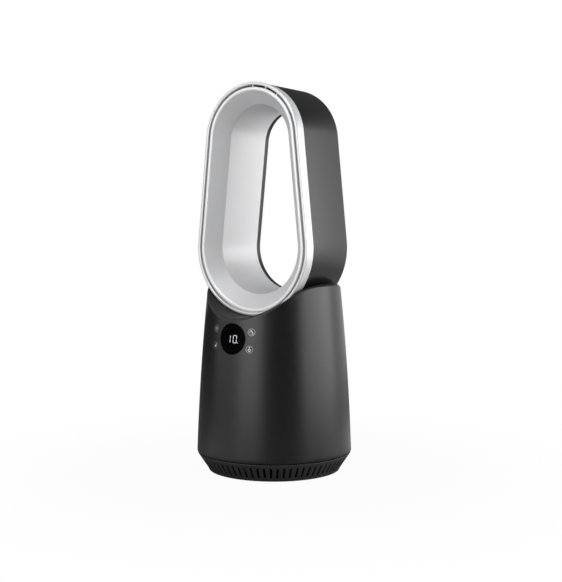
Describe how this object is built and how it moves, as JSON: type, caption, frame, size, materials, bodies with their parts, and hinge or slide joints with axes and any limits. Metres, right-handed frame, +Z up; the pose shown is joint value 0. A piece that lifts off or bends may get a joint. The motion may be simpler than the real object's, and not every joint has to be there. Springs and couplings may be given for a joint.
{
  "type": "bladeless fan heater",
  "caption": "Tower fan heater with a saddle-topped round body, a slotted base ring and an upright hollow air loop that blows from a slot round its front edge; the tower sweeps on its base.",
  "frame": {"origin": "centre of the base's footprint, on the floor", "axes": "+Z up along the tower's axis, front of the heater towards -Y, +X to the right seen from the front"},
  "size_m": [0.22, 0.22, 0.5436],
  "materials": {
    "charcoal_body": "satin charcoal",
    "dark_plastic": "matt black",
    "silver_band": "satin silver paint",
    "light_duct": "light grey",
    "white_plastic": "white",
    "steel": "bright",
    "brass": "bright",
    "copper": "wound",
    "rubber": "matt",
    "circuit": "green board",
    "lens": "gloss black"
  },
  "bodies": {
    "base": {"base_plate": "dark_plastic", "base_ring": "charcoal_body", "rubber_feet": "rubber", "base_screws": "steel", "sun_gear": "white_plastic", "thrust_washer": "brass", "glide_pads": "white_plastic", "retainer_plate": "steel", "retainer_screws": "steel", "tip_switch": "dark_plastic", "tip_spring": "steel", "cord_gland": "rubber"},
    "tower": {"turntable": "dark_plastic", "housing": "charcoal_body", "tower_screws": "steel", "sweep_motor": "steel", "sweep_motor_screws": "steel", "rubber_mounts": "rubber", "mount_screws": "steel", "fan_shroud": "white_plastic", "diffuser": "white_plastic", "motor_case": "steel", "motor_stator": "copper", "motor_bearings": "steel", "motor_screws": "steel", "heater_frame": "white_plastic", "heating_element": "steel", "thermal_cutout": "steel", "neck_duct": "white_plastic", "neck_seal": "rubber", "union_nut": "dark_plastic", "power_board": "circuit", "board_bracket": "dark_plastic", "display_lens": "lens", "panel_carrier": "dark_plastic", "control_board": "circuit", "touch_springs": "steel", "loop_shell": "charcoal_body", "loop_band": "silver_band", "loop_duct": "light_duct"},
    "impeller": {"impeller": "white_plastic", "motor_shaft": "steel", "motor_rotor": "dark_plastic", "impeller_nut": "brass"},
    "pinion": {"drive_pinion": "white_plastic", "pinion_shaft": "steel"},
    "plunger": {"tip_plunger": "white_plastic"}
  },
  "joints": [
    {"name": "sweep", "type": "hinge", "parent": "base", "child": "tower", "pos_m": [0, 0, 0.03], "axis": [0, 0, 1], "range_deg": [-40, 40]},
    {"name": "pinion_turn", "type": "hinge", "parent": "tower", "child": "pinion", "pos_m": [-0.03031, 0.0175, 0.021], "axis": [0, 0, 1], "range_deg": [-120.5, 120.5]},
    {"name": "impeller_spin", "type": "hinge", "parent": "tower", "child": "impeller", "pos_m": [0, 0, 0.09], "axis": [0, 0, 1], "continuous": true},
    {"name": "plunger_drop", "type": "slide", "parent": "base", "child": "plunger", "axis": [0, 0, 1], "range_m": [-0.003, 0], "stiffness_N_per_m": 150, "springref_m": -0.006, "deforming": ["tip_spring"]}
  ],
  "couplings": [
    {"joint": "pinion_turn", "follows": "sweep", "ratio": 3}
  ]
}
